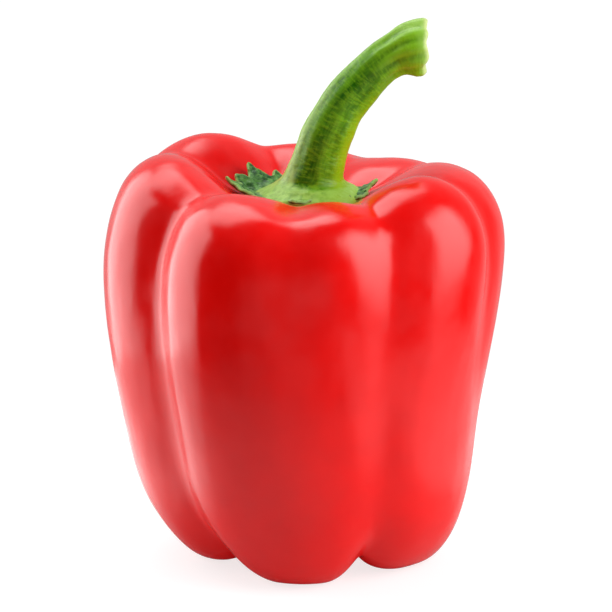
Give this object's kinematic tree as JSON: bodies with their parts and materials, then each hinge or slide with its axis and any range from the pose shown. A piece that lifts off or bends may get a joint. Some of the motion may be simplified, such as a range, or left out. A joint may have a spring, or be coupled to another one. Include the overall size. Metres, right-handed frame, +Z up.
{
  "type": "bell pepper",
  "caption": "Red bell pepper, blocky and lobed, with a green calyx in the hollow of its crown and a bent stem; stands on the feet of its lobes.",
  "frame": {"origin": "under the middle of the bounding box, on the surface that the pepper stands on", "axes": "+Z up along the fruit; the stem bends towards +X; -Y is the side seen from the front"},
  "size_m": [0.0864, 0.0864, 0.1172],
  "materials": {
    "skin": "gloss",
    "calyx": "satin",
    "stem": "satin"
  },
  "bodies": {
    "root": {"fruit": "skin", "calyx": "calyx", "stem": "stem"}
  },
  "joints": []
}
